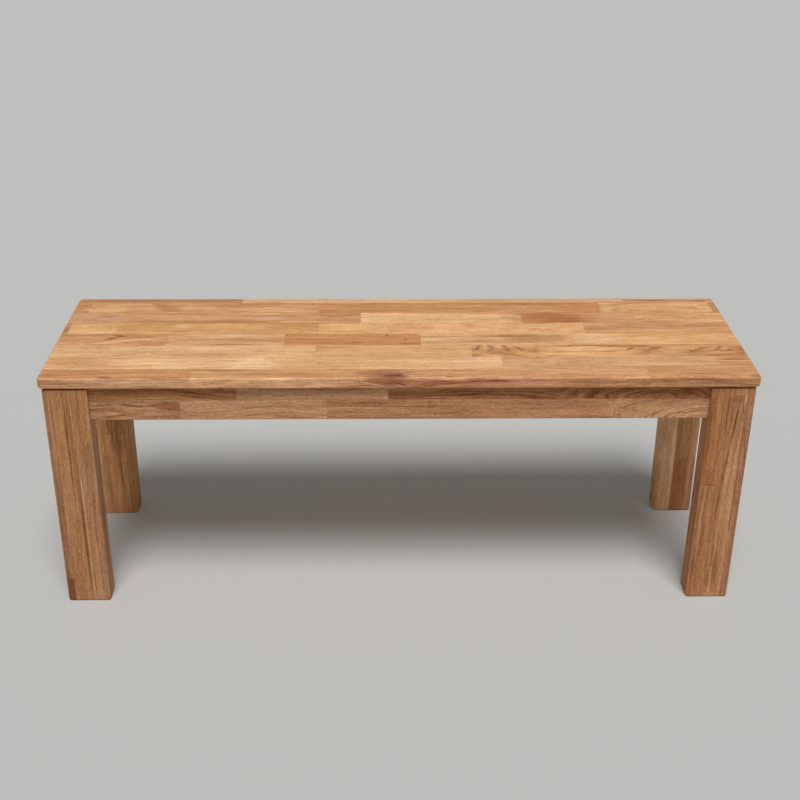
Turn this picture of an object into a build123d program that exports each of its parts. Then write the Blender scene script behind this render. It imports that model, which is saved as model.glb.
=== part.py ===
from build123d import *
import os
from math import sqrt

# A solid oak bench without a back: a glued stave seat on four rectangular legs and an apron frame.
# The legs bolt to the aprons through diagonal corner blocks, so that the bench packs flat.
# All lengths are in millimetres. X runs along the bench, Y across it to the back, Z up.
# The origin is on the floor, under the middle of the seat.

# The seat
seat_length = 1200
seat_width = 350
seat_thickness = 20
seat_height = 445
seat_corner_radius = 7
seat_edge_radius = 4

# The legs
leg_width = 75
leg_depth = 45
leg_edge_radius = 5
leg_end_radius = 3.5
leg_top_gap = 2.4
end_overhang = 4.5
side_overhang = 3.5

# The aprons
apron_height = 63
apron_thickness = 20
apron_setback = 8
apron_edge_radius = 2

# The corner blocks, and the flat on each leg's inner corner that they pull against
corner_flat_cut = 12
block_thickness = 25
block_height = 55
block_edge_chamfer = 1.5

# The hanger bolts: wood thread in the leg, washer and nut on the block
bolt_diameter = 8
bolt_point = 5
bolt_end_chamfer = 1
bolt_end_past_nut = 4
bolt_spacing = 28
# How far a bolt's point reaches through the leg, as a share of the leg's depth
bolt_reach_share = 0.81
washer_diameter = 16
washer_thickness = 1.6
nut_across_flats = 13
nut_height = 6.5

# The screws that hold each block to its two aprons
block_screw_diameter = 4.5
block_screw_length = 24
block_screw_head_diameter = 8.4
block_screw_head_height = 2.8
block_screw_grip = 8
block_screw_spacing = 32
counterbore_diameter = 10

# The steel angle brackets that hold the seat down, and their screws
bracket_arm = 25
bracket_width = 20
bracket_gauge = 2
bracket_bend_radius = 1.5
bracket_corner_radius = 3
bracket_hole_diameter = 4.6
bracket_hole_place = 15
bracket_slot_length = 10
bracket_screw_diameter = 4
bracket_screw_length = 16
bracket_screw_head_diameter = 7.6
bracket_screw_head_height = 2.4
head_rounding = 1

# One fit for every hole in wood or steel, and one overrun for every cut
fit_clearance = 0.1
cut_overrun = 20

# Edges of the seat's glued strips as shares of its width, from the back edge
seat_strip_shares = (0.067, 0.206, 0.344, 0.482, 0.621, 0.760, 0.902)
# Stave ends in each strip as shares of the seat's length, from the left end, back strip first
seat_joint_shares = (
    (0.257, 0.560, 0.857),
    (0.024, 0.220, 0.378, 0.814, 0.988),
    (0.043, 0.081, 0.443, 0.688, 0.862),
    (0.009, 0.081, 0.379, 0.779),
    (0.160, 0.332, 0.531, 0.752),
    (0.083, 0.378, 0.603),
    (0.320, 0.644, 0.952),
    (0.209, 0.442, 0.845),
)

# The glue line between an apron's two strips as a share of its height, from the lower edge
apron_strip_share = 0.60
# Stave ends as shares of the apron's length, from the left or front end: lower strip, upper strip
apron_joint_shares = {
    "apron_front": ((0.145, 0.381, 0.846), (0.237, 0.480, 0.757)),
    "apron_back": ((0.190, 0.472, 0.735), (0.312, 0.628, 0.846)),
    "apron_left": ((0.355,), (0.640,)),
    "apron_right": ((0.690,), (0.415,)),
}

# Glue lines between a leg's three strips as shares of its width, from the outer side
leg_strip_shares = {
    "leg_front_left": (0.19, 0.62),
    "leg_front_right": (0.19, 0.60),
    "leg_back_left": (0.40, 0.83),
    "leg_back_right": (0.19, 0.58),
}
# Stave ends as shares of the leg's length, from the foot: outer, middle and inner strip
leg_joint_shares = {
    "leg_front_left": ((0.111,), (), (0.767,)),
    "leg_front_right": ((0.925,), (0.026,), (0.555,)),
    "leg_back_left": ((0.700,), (0.423,), (0.640,)),
    "leg_back_right": ((0.283,), (0.283,), (0.810,)),
}
strip_names = ("outer", "middle", "inner")

# Places of the brackets on a long apron as shares of its half length; an end apron has one, in its middle
bracket_place_shares = (-0.6, 0, 0.6)

# Heights above the floor
seat_underside = seat_height - seat_thickness
leg_length = seat_underside - leg_top_gap
apron_bottom = seat_underside - apron_height
block_bottom = seat_underside - block_height
block_middle = seat_underside - block_height / 2

# Faces of the back right leg and of the aprons that meet it
leg_outer_x = seat_length / 2 - end_overhang
leg_outer_y = seat_width / 2 - side_overhang
leg_inner_x = leg_outer_x - leg_width
leg_inner_y = leg_outer_y - leg_depth
long_apron_outer_y = leg_outer_y - apron_setback
long_apron_inner_y = long_apron_outer_y - apron_thickness
end_apron_outer_x = leg_outer_x - apron_setback
end_apron_inner_x = end_apron_outer_x - apron_thickness

# The block's two long faces are lines on which x + y is the same all along
block_outer_sum = leg_inner_x + leg_inner_y + corner_flat_cut
block_inner_sum = block_outer_sum - block_thickness * sqrt(2)
block_outer_on_long = block_outer_sum - long_apron_inner_y
block_inner_on_long = block_inner_sum - long_apron_inner_y
block_outer_on_end = block_outer_sum - end_apron_inner_x
block_inner_on_end = block_inner_sum - end_apron_inner_x

# Where the fixings go
bolt_x = leg_inner_x + corner_flat_cut / 2
bolt_y = leg_inner_y + corner_flat_cut / 2
bolt_depth_in_leg = (leg_depth * bolt_reach_share - corner_flat_cut / 2) * sqrt(2)
bolt_heights = [block_middle - bolt_spacing / 2, block_middle + bolt_spacing / 2]
block_screw_x = (block_outer_on_long + block_inner_on_long) / 2
block_screw_y = (block_outer_on_end + block_inner_on_end) / 2
block_screw_heights = [block_middle - block_screw_spacing / 2, block_middle + block_screw_spacing / 2]
bracket_hole_height = seat_underside - bracket_hole_place
bracket_places = [leg_inner_x * share for share in bracket_place_shares]

os.makedirs("parts", exist_ok=True)


def save(shape, name):
    """Labels one sub-part and writes it under its node's name."""
    shape.label = name
    export_step(shape, f"parts/{name}.step")


def glued_strip(blank, low, high, across, along, joints):
    """The strip of a glued blank between two planes, cut into its staves at each joint."""
    with BuildPart() as strip:
        add(blank)
        split(bisect_by=Plane(origin=across * low, z_dir=across), keep=Keep.TOP)
        split(bisect_by=Plane(origin=across * high, z_dir=across), keep=Keep.BOTTOM)
        for place in joints:
            split(bisect_by=Plane(origin=along * place, z_dir=along), keep=Keep.BOTH)
    return strip.part


def at_corners(part):
    """The same piece at all four corners, from the one at the back right."""
    with BuildPart() as corners:
        add(part)
        mirror(about=Plane.YZ)
        mirror(about=Plane.XZ)
    return corners.part


along_bench = Vector(1, 0, 0)
across_bench = Vector(0, 1, 0)
upward = Vector(0, 0, 1)


# The seat: one panel with rounded edges and pilot holes for the bracket screws
bracket_screw_depth = bracket_screw_length - bracket_gauge + fit_clearance
bracket_pilot_radius = bracket_screw_diameter / 2 + fit_clearance
seat_screw_y = long_apron_inner_y - bracket_hole_place
seat_screw_x = end_apron_inner_x - bracket_hole_place
seat_screw_places = [(x, side * seat_screw_y) for x in bracket_places for side in (-1, 1)]
seat_screw_places += [(-seat_screw_x, 0), (seat_screw_x, 0)]

with BuildPart() as seat_blank:
    with BuildSketch(Plane.XY.offset(seat_underside)):
        RectangleRounded(seat_length, seat_width, seat_corner_radius)
    extrude(amount=seat_thickness)
    seat_faces = seat_blank.faces().sort_by(Axis.Z)
    fillet(seat_faces[0].edges() + seat_faces[-1].edges(), seat_edge_radius)
    with BuildSketch(Plane.XY.offset(seat_underside)):
        with Locations(*seat_screw_places):
            Circle(bracket_pilot_radius)
    extrude(amount=bracket_screw_depth, mode=Mode.SUBTRACT)

seat_strip_lines = [seat_width * (0.5 - share) for share in seat_strip_shares]
seat_strip_lines = [seat_width / 2 + cut_overrun, *seat_strip_lines, -seat_width / 2 - cut_overrun]
for number, shares in enumerate(seat_joint_shares, start=1):
    back_line, front_line = seat_strip_lines[number - 1:number + 1]
    joints = [seat_length * (share - 0.5) for share in shares]
    strip = glued_strip(seat_blank.part, front_line, back_line, across_bench, along_bench, joints)
    save(strip, f"seat_strip_{number}")


# A leg: rounded all round, with the flat for its corner block and two blind holes for the bolts
with BuildPart() as leg_blank:
    with BuildSketch(Plane.XY):
        with Locations((leg_inner_x, leg_inner_y)):
            RectangleRounded(leg_width, leg_depth, leg_edge_radius, align=(Align.MIN, Align.MIN))
    extrude(amount=leg_length)
    leg_faces = leg_blank.faces().sort_by(Axis.Z)
    fillet(leg_faces[0].edges() + leg_faces[-1].edges(), leg_end_radius)
    with BuildSketch(Plane.XY.offset(apron_bottom)):
        with BuildLine():
            Polyline(
                (leg_inner_x - cut_overrun, leg_inner_y - cut_overrun),
                (leg_inner_x + corner_flat_cut + cut_overrun, leg_inner_y - cut_overrun),
                (leg_inner_x - cut_overrun, leg_inner_y + corner_flat_cut + cut_overrun),
                close=True,
            )
        make_face()
    extrude(amount=leg_length, mode=Mode.SUBTRACT)
    for height in bolt_heights:
        with BuildSketch(Plane(origin=(bolt_x, bolt_y, height), z_dir=(1, 1, 0))):
            Circle(bolt_diameter / 2 + fit_clearance)
        extrude(amount=bolt_depth_in_leg + fit_clearance, mode=Mode.SUBTRACT)

leg_sides = {
    "leg_front_left": (-1, -1),
    "leg_front_right": (1, -1),
    "leg_back_left": (-1, 1),
    "leg_back_right": (1, 1),
}
for leg_name, (side_x, side_y) in leg_sides.items():
    leg_here = leg_blank.part
    if side_x < 0:
        leg_here = leg_here.mirror(Plane.YZ)
    if side_y < 0:
        leg_here = leg_here.mirror(Plane.XZ)
    lines = [leg_outer_x - leg_width * share for share in leg_strip_shares[leg_name]]
    lines = [leg_outer_x + cut_overrun, *lines, leg_inner_x - cut_overrun]
    for index, strip_name in enumerate(strip_names):
        low, high = sorted(side_x * line for line in lines[index:index + 2])
        joints = [leg_length * share for share in leg_joint_shares[leg_name][index]]
        strip = glued_strip(leg_here, low, high, along_bench, upward, joints)
        save(strip, f"{leg_name}_{strip_name}")


# A long apron, between the legs at the back, with holes for the block screws and the brackets
screw_depth_in_apron = block_screw_length - block_screw_grip + fit_clearance
with BuildPart() as long_apron_blank:
    with BuildSketch(Plane.XY.offset(apron_bottom)):
        with Locations((0, long_apron_inner_y)):
            Rectangle(2 * leg_inner_x, apron_thickness, align=(Align.CENTER, Align.MIN))
    extrude(amount=apron_height)
    lower_edges = long_apron_blank.edges().filter_by(Axis.X).group_by(Axis.Z)[0]
    fillet(lower_edges, apron_edge_radius)
    with BuildSketch(Plane.XZ.offset(-long_apron_inner_y)):
        with Locations(*[(side * block_screw_x, height) for side in (-1, 1) for height in block_screw_heights]):
            Circle(block_screw_diameter / 2 + fit_clearance)
    extrude(amount=-screw_depth_in_apron, mode=Mode.SUBTRACT)
    with BuildSketch(Plane.XZ.offset(-long_apron_inner_y)):
        with Locations(*[(x, bracket_hole_height) for x in bracket_places]):
            Circle(bracket_pilot_radius)
    extrude(amount=-bracket_screw_depth, mode=Mode.SUBTRACT)

# An end apron, between the legs at the right
with BuildPart() as end_apron_blank:
    with BuildSketch(Plane.XY.offset(apron_bottom)):
        with Locations((end_apron_inner_x, 0)):
            Rectangle(apron_thickness, 2 * leg_inner_y, align=(Align.MIN, Align.CENTER))
    extrude(amount=apron_height)
    lower_edges = end_apron_blank.edges().filter_by(Axis.Y).group_by(Axis.Z)[0]
    fillet(lower_edges, apron_edge_radius)
    with BuildSketch(Plane.YZ.offset(end_apron_inner_x)):
        with Locations(*[(side * block_screw_y, height) for side in (-1, 1) for height in block_screw_heights]):
            Circle(block_screw_diameter / 2 + fit_clearance)
    extrude(amount=screw_depth_in_apron, mode=Mode.SUBTRACT)
    with BuildSketch(Plane.YZ.offset(end_apron_inner_x)):
        with Locations((0, bracket_hole_height)):
            Circle(bracket_pilot_radius)
    extrude(amount=bracket_screw_depth, mode=Mode.SUBTRACT)

apron_blanks = {
    "apron_front": (long_apron_blank.part.mirror(Plane.XZ), along_bench, 2 * leg_inner_x),
    "apron_back": (long_apron_blank.part, along_bench, 2 * leg_inner_x),
    "apron_left": (end_apron_blank.part.mirror(Plane.YZ), across_bench, 2 * leg_inner_y),
    "apron_right": (end_apron_blank.part, across_bench, 2 * leg_inner_y),
}
apron_glue_line = apron_bottom + apron_height * apron_strip_share
for apron_name, (blank, along, length) in apron_blanks.items():
    lower_shares, upper_shares = apron_joint_shares[apron_name]
    joints = [length * (share - 0.5) for share in lower_shares]
    strip = glued_strip(blank, apron_bottom - cut_overrun, apron_glue_line, upward, along, joints)
    save(strip, f"{apron_name}_lower")
    joints = [length * (share - 0.5) for share in upper_shares]
    strip = glued_strip(blank, apron_glue_line, seat_underside + cut_overrun, upward, along, joints)
    save(strip, f"{apron_name}_upper")


# A corner block: a trapezoid across the corner, bored for two bolts and four counterbored screws
with BuildPart() as block_blank:
    with BuildSketch(Plane.XY.offset(block_bottom)):
        with BuildLine():
            Polyline(
                (block_outer_on_long, long_apron_inner_y),
                (block_inner_on_long, long_apron_inner_y),
                (end_apron_inner_x, block_inner_on_end),
                (end_apron_inner_x, block_outer_on_end),
                close=True,
            )
        make_face()
    extrude(amount=block_height)
    chamfer(block_blank.faces().sort_by(Axis.Z)[0].edges(), block_edge_chamfer)
    for height in bolt_heights:
        with BuildSketch(Plane(origin=(bolt_x, bolt_y, height), z_dir=(-1, -1, 0))):
            Circle(bolt_diameter / 2 + fit_clearance)
        extrude(amount=block_thickness + cut_overrun, mode=Mode.SUBTRACT)
    for radius, depth in ((block_screw_diameter / 2 + fit_clearance, 0), (counterbore_diameter / 2, block_screw_grip)):
        with BuildSketch(Plane.XZ.offset(depth - long_apron_inner_y)):
            with Locations(*[(block_screw_x, height) for height in block_screw_heights]):
                Circle(radius)
        extrude(amount=block_thickness + cut_overrun, mode=Mode.SUBTRACT)
        with BuildSketch(Plane.YZ.offset(end_apron_inner_x - depth)):
            with Locations(*[(block_screw_y, height) for height in block_screw_heights]):
                Circle(radius)
        extrude(amount=-block_thickness - cut_overrun, mode=Mode.SUBTRACT)

save(block_blank.part, "corner_block_back_right")
save(block_blank.part.mirror(Plane.YZ), "corner_block_back_left")
save(block_blank.part.mirror(Plane.XZ), "corner_block_front_right")
save(block_blank.part.mirror(Plane.YZ).mirror(Plane.XZ), "corner_block_front_left")


# A hanger bolt along Z: its point in the leg below zero, its machine thread through the block above
bolt_radius = bolt_diameter / 2
bolt_end = block_thickness + washer_thickness + nut_height + bolt_end_past_nut
with BuildPart() as hanger_bolt:
    with BuildSketch(Plane.XZ):
        with BuildLine():
            Polyline(
                (0, -bolt_depth_in_leg),
                (bolt_radius, bolt_point - bolt_depth_in_leg),
                (bolt_radius, bolt_end - bolt_end_chamfer),
                (bolt_radius - bolt_end_chamfer, bolt_end),
                (0, bolt_end),
                close=True,
            )
        make_face()
    revolve(axis=Axis.Z)

with BuildPart() as washer:
    with BuildSketch(Plane.XY.offset(block_thickness)):
        Circle(washer_diameter / 2)
        Circle(bolt_radius + fit_clearance, mode=Mode.SUBTRACT)
    extrude(amount=washer_thickness)

with BuildPart() as nut:
    with BuildSketch(Plane.XY.offset(block_thickness + washer_thickness)):
        RegularPolygon(nut_across_flats / 2, 6, major_radius=False)
        Circle(bolt_radius + fit_clearance, mode=Mode.SUBTRACT)
    extrude(amount=nut_height)

bolt_planes = [Plane(origin=(bolt_x, bolt_y, height), z_dir=(-1, -1, 0)) for height in bolt_heights]
for name, piece in (("hanger_bolts", hanger_bolt), ("bolt_washers", washer), ("bolt_nuts", nut)):
    with BuildPart() as corner_set:
        with Locations(*bolt_planes):
            add(piece.part)
    save(at_corners(corner_set.part), name)


def wood_screw(diameter, length, head_diameter, head_height):
    """A pan head screw along Z: the head above zero, the shank and its point below."""
    radius = diameter / 2
    with BuildPart() as screw:
        with BuildSketch(Plane.XZ):
            with BuildLine():
                Polyline(
                    (0, head_height),
                    (head_diameter / 2 - head_rounding, head_height),
                    (head_diameter / 2, head_height - head_rounding),
                    (head_diameter / 2, 0),
                    (radius, 0),
                    (radius, diameter - length),
                    (0, -length),
                    close=True,
                )
            make_face()
        revolve(axis=Axis.Z)
    return screw.part


# The block screws: two into each apron at each corner
block_screw = wood_screw(block_screw_diameter, block_screw_length, block_screw_head_diameter, block_screw_head_height)
block_screw_planes = [
    Plane(origin=(block_screw_x, long_apron_inner_y - block_screw_grip, height), z_dir=(0, -1, 0))
    for height in block_screw_heights
]
block_screw_planes += [
    Plane(origin=(end_apron_inner_x - block_screw_grip, block_screw_y, height), z_dir=(-1, 0, 0))
    for height in block_screw_heights
]
with BuildPart() as corner_screws:
    with Locations(*block_screw_planes):
        add(block_screw)
save(at_corners(corner_screws.part), "block_screws")


# An angle bracket: its bend at the origin, one arm up against the seat along Y, one down the apron
with BuildPart() as bracket:
    with BuildSketch(Plane.YZ):
        with BuildLine():
            FilletPolyline(
                (0, -bracket_arm),
                (0, 0),
                (bracket_arm, 0),
                radius=bracket_bend_radius + bracket_gauge,
            )
            Line((bracket_arm, 0), (bracket_arm, -bracket_gauge))
            FilletPolyline(
                (bracket_arm, -bracket_gauge),
                (bracket_gauge, -bracket_gauge),
                (bracket_gauge, -bracket_arm),
                radius=bracket_bend_radius,
            )
            Line((bracket_gauge, -bracket_arm), (0, -bracket_arm))
        make_face()
    extrude(amount=bracket_width / 2, both=True)
    fillet(bracket.edges().filter_by(Axis.Z).group_by(Axis.Y)[-1], bracket_corner_radius)
    fillet(bracket.edges().filter_by(Axis.Y).group_by(Axis.Z)[0], bracket_corner_radius)
    with BuildSketch(Plane.XZ):
        with Locations((0, -bracket_hole_place)):
            Circle(bracket_hole_diameter / 2)
    extrude(amount=-bracket_gauge, mode=Mode.SUBTRACT)
    with BuildSketch(Plane.XY):
        with Locations((0, bracket_hole_place)):
            SlotOverall(bracket_slot_length, bracket_hole_diameter, rotation=90)
    extrude(amount=-bracket_gauge, mode=Mode.SUBTRACT)

# The bracket's two screws: one flat through the apron arm, one up through the seat arm
bracket_screw = wood_screw(
    bracket_screw_diameter, bracket_screw_length, bracket_screw_head_diameter, bracket_screw_head_height
)
with BuildPart() as bracket_pair:
    with Locations(
        Plane(origin=(0, bracket_gauge, -bracket_hole_place), z_dir=(0, 1, 0)),
        Plane(origin=(0, bracket_hole_place, -bracket_gauge), z_dir=(0, 0, -1)),
    ):
        add(bracket_screw)

bracket_locations = [Location((x, -long_apron_inner_y, seat_underside)) for x in bracket_places]
bracket_locations += [Location((x, long_apron_inner_y, seat_underside), (0, 0, 180)) for x in bracket_places]
bracket_locations += [
    Location((-end_apron_inner_x, 0, seat_underside), (0, 0, -90)),
    Location((end_apron_inner_x, 0, seat_underside), (0, 0, 90)),
]
for name, piece in (("seat_brackets", bracket), ("bracket_screws", bracket_pair)):
    with BuildPart() as bracket_set:
        with Locations(*bracket_locations):
            add(piece.part)
    save(bracket_set.part, name)
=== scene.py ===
import math

import bpy
from mathutils import Matrix, Vector


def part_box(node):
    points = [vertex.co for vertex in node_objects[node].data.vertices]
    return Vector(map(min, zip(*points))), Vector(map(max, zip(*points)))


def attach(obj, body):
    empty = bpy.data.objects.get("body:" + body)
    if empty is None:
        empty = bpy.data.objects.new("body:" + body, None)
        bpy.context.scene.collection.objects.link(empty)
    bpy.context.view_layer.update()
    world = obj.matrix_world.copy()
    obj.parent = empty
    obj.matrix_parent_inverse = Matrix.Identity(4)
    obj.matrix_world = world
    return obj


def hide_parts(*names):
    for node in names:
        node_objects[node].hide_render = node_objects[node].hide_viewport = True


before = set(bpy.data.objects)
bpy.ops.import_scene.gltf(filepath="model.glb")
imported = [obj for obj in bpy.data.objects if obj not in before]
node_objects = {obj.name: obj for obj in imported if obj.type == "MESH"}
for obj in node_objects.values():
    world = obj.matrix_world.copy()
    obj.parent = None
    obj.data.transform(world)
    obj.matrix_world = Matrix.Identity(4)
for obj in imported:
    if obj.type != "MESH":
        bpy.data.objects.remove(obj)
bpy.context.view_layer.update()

MM = 0.001

# The sizes here are in millimetres, and the same as in the model
SLACK = 0.5
SEAT_EDGE_Y, SEAT_MIDDLE_Z = 175, 435
LEG_INNER_X, LEG_OUTER_X = 520.5, 595.5
APRON_INNER_X, APRON_INNER_Y, APRON_GLUE_Z = 567.5, 143.5, 399.8
# The corner blocks' pith is measured from here, across and through their grain
BLOCK_PITH = (150, 400)

# Each hanger bolt: where it leaves the leg, and along its line its point, the point's end, the start of the
# thread that shows, and its end; then its nut
BOLT_PLACE = (526.5, 132.5)
BOLT_HEIGHTS = (383.5, 411.5)
BOLT_RADIUS, BOLT_ROOT, BOLT_PITCH = 4.0, 3.35, 1.25
BOLT_POINT, BOLT_SHOULDER, BOLT_THREAD, BOLT_END = -43.06, -38.06, 25.0, 37.1
NUT_FOOT, NUT_TOP, NUT_FLATS = 26.6, 33.1, 13.0

# Each screw: its diameter, its length, and its head's diameter and height
BLOCK_SCREW = (4.5, 24.0, 8.4, 2.8)
BRACKET_SCREW = (4.0, 16.0, 7.6, 2.4)
# Where the block screws stand along the aprons, and how far from the aprons their heads sit
BLOCK_SCREW_X, BLOCK_SCREW_Y = 497.82, 73.82
BLOCK_SCREW_HEIGHTS = (381.5, 413.5)
BLOCK_SCREW_SEAT = 8

# Each bracket's corner on an apron and the way that it faces; then how high the corner is, how thick the
# sheet, and how far the holes are from the corner
BRACKET_X = 312.3
BRACKETS = [((x, side * APRON_INNER_Y), (0, -side)) for x in (-BRACKET_X, 0, BRACKET_X) for side in (-1, 1)]
BRACKETS += [((side * APRON_INNER_X, 0), (-side, 0)) for side in (-1, 1)]
BRACKET_TOP, BRACKET_SHEET, BRACKET_HOLE = 425, 2, 15

# Tones of oiled oak as they look in plain light, about from pale to dark, and one of beech
TONES = {
    # blond and flare are lighter than the oak looks in plain light: painted light for the back left leg
    "milk": (242, 202, 152), "blond": (242, 184, 126), "cream": (224, 184, 138), "pale": (214, 168, 118),
    "gold": (213, 162, 111), "flare": (226, 170, 114), "wheat": (209, 163, 115), "rose": (210, 164, 120),
    "straw": (206, 158, 108), "fawn": (203, 156, 112), "blush": (204, 158, 122), "peach": (200, 150, 105),
    "honey": (198, 148, 96), "tan": (194, 144, 98), "ash": (190, 146, 104), "copper": (188, 136, 92),
    "amber": (188, 134, 86), "pink": (184, 138, 102), "bark": (180, 136, 98), "brown": (178, 126, 82),
    "brick": (176, 118, 86), "russet": (168, 106, 64), "clove": (152, 104, 76), "umber": (146, 92, 54),
    "plum": (112, 68, 50), "beech": (206, 166, 124),
}

# Legs and aprons: the seat's oak, tinted darker and a little redder as painted shade for their shadier faces
SEAT_TINT = (1.045, 1.035, 1.07)
FRAME_SHADE_TINT = (0.785, 0.72, 0.735)

# Figures: how much loops are stretched along the grain, where the pith lies across and through the stave and
# the gap between rings, in millimetres, then the strength of ring lines, long streaks and ray flecks
FIGURES = {
    "plain": (300, 70, 10, 2.2, 0.35, 0.45, 0.10),
    "rift": (200, -60, -30, 2.6, 0.55, 0.65, 0.05),
    "flat": (18, 4, -42, 3.4, 0.70, 0.75, 0.00),
    "flame": (12, -8, -34, 4.5, 0.90, 1.00, 0.00),
    "hill": (7, -26, -6, 6.0, 1.00, 1.00, 0.00),
    "curl": (4.0, -13, -5, 4.4, 1.00, 0.85, 0.00),
    "fan": (3.0, -24, -3, 3.4, 1.00, 1.00, 0.00),
    "rays": (400, 10, 90, 1.8, 0.25, 0.30, 0.45),
    "stripe": (400, 60, 20, 5.0, 0.80, 1.00, 0.00),
}

# The seat's strips from the back: each stave's end along the bench, tone and figure, then the middle of its
# loops where that isn't 0
SEAT = [
    [(-292, "brown", "rift"), (72, "rose", "plain"), (428, "fawn", "plain"), (600, "tan", "stripe")],
    [(-571, "copper", "rift"), (-336, "tan", "plain"), (-147, "tan", "rift"), (377, "amber", "plain"),
     (586, "straw", "flat", 520), (600, "brown", "plain")],
    [(-549, "ash", "plain"), (-503, "ash", "plain"), (-69, "tan", "rift"), (226, "pale", "plain"),
     (434, "tan", "plain"), (600, "straw", "rift")],
    [(-589, "brown", "plain"), (-503, "straw", "plain"), (-145, "honey", "rift"), (334, "gold", "rays"),
     (600, "tan", "rift")],
    [(-408, "tan", "plain"), (-202, "straw", "rift"), (37, "amber", "rift"), (302, "wheat", "rift"),
     (600, "gold", "plain")],
    [(-500, "wheat", "plain"), (-146, "wheat", "plain"), (124, "straw", "plain"),
     (600, "honey", "flame", 330)],
    [(-215, "pale", "plain"), (173, "pale", "plain"), (542, "fawn", "plain"), (600, "tan", "stripe")],
    [(-350, "copper", "rift"), (-70, "tan", "plain"), (414, "peach", "rift"), (600, "tan", "plain")],
]
# Where each glue line lies, from the back edge to the front one
SEAT_LINES = [SEAT_EDGE_Y, 151.55, 102.9, 54.6, 6.3, -42.35, -91, -140.7, -SEAT_EDGE_Y]

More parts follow.
